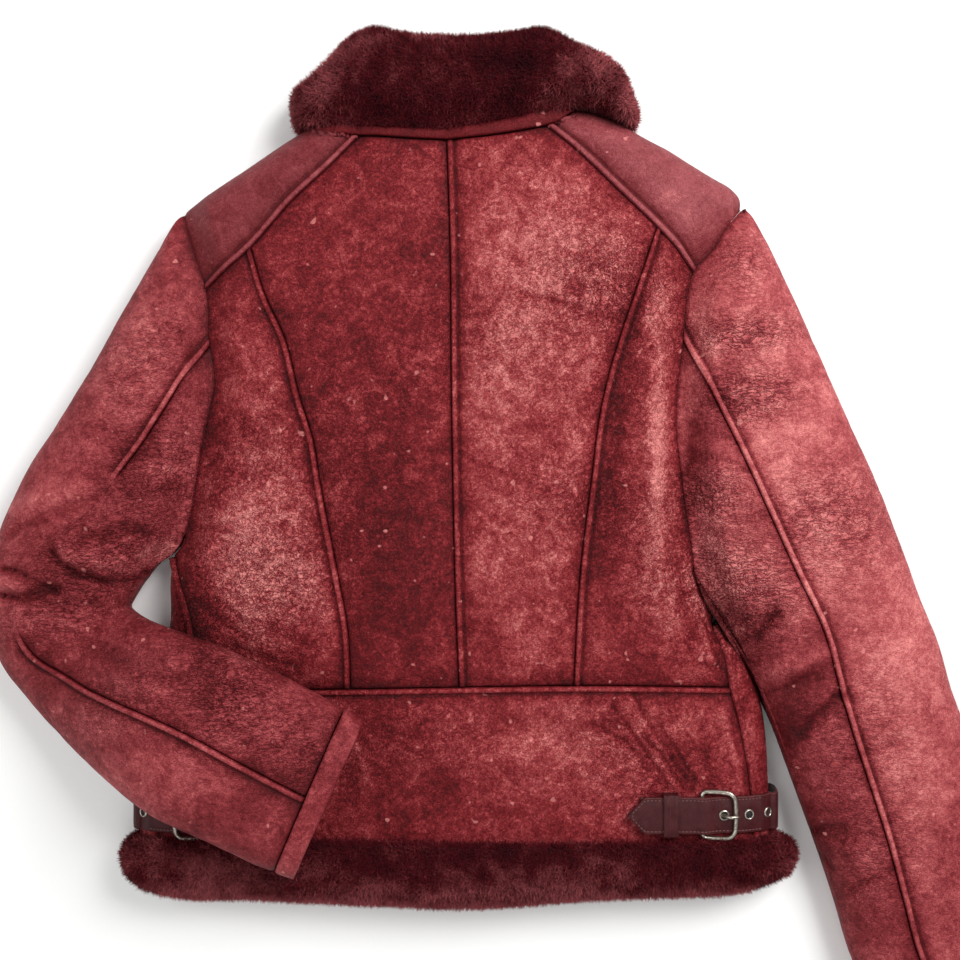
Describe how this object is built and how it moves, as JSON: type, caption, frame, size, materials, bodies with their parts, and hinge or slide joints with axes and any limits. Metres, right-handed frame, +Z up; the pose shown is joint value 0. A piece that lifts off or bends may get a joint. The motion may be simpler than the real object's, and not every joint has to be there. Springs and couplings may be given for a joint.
{
  "type": "cropped shearling jacket laid out face down",
  "caption": "Cropped shearling jacket laid flat on its front, with a fleece collar and hem, one sleeve folded over the back and buckled side straps.",
  "frame": {"origin": "on the flat underside, under the centre back line, about 0.25 m below the neck seam", "axes": "+Z up from the surface it lies on, +Y towards the collar, +X towards the straight sleeve"},
  "size_m": [0.799, 0.769, 0.0909],
  "materials": {
    "hide": "burgundy nappa-finished sheepskin with pale mottling",
    "saddle_hide": "darker, smoother burgundy sheepskin",
    "fleece": "dense sheared wool pile",
    "strap_hide": "dark brown belt leather",
    "nickel": "aged nickel"
  },
  "bodies": {
    "root": {"back_centre_left": "hide", "back_side_left": "hide", "shoulder_saddle_left": "saddle_hide", "front_left": "hide", "hem_trim_front_left": "fleece", "sleeve_top_left": "hide", "sleeve_under_left": "hide", "cuff_left": "hide", "strap_left": "strap_hide", "strap_tab_left": "strap_hide", "strap_keeper_left": "strap_hide", "buckle_frame_left": "nickel", "buckle_prong_left": "nickel", "eyelet_1_left": "nickel", "eyelet_2_left": "nickel", "back_centre_right": "hide", "back_side_right": "hide", "shoulder_saddle_right": "saddle_hide", "front_right": "hide", "hem_trim_front_right": "fleece", "sleeve_top_right": "hide", "sleeve_under_right": "hide", "cuff_right": "hide", "strap_right": "strap_hide", "strap_tab_right": "strap_hide", "strap_keeper_right": "strap_hide", "buckle_frame_right": "nickel", "buckle_prong_right": "nickel", "eyelet_1_right": "nickel", "eyelet_2_right": "nickel", "back_waist_panel": "hide", "hem_trim_back": "fleece", "neck_piping": "hide", "collar": "fleece"}
  },
  "joints": []
}
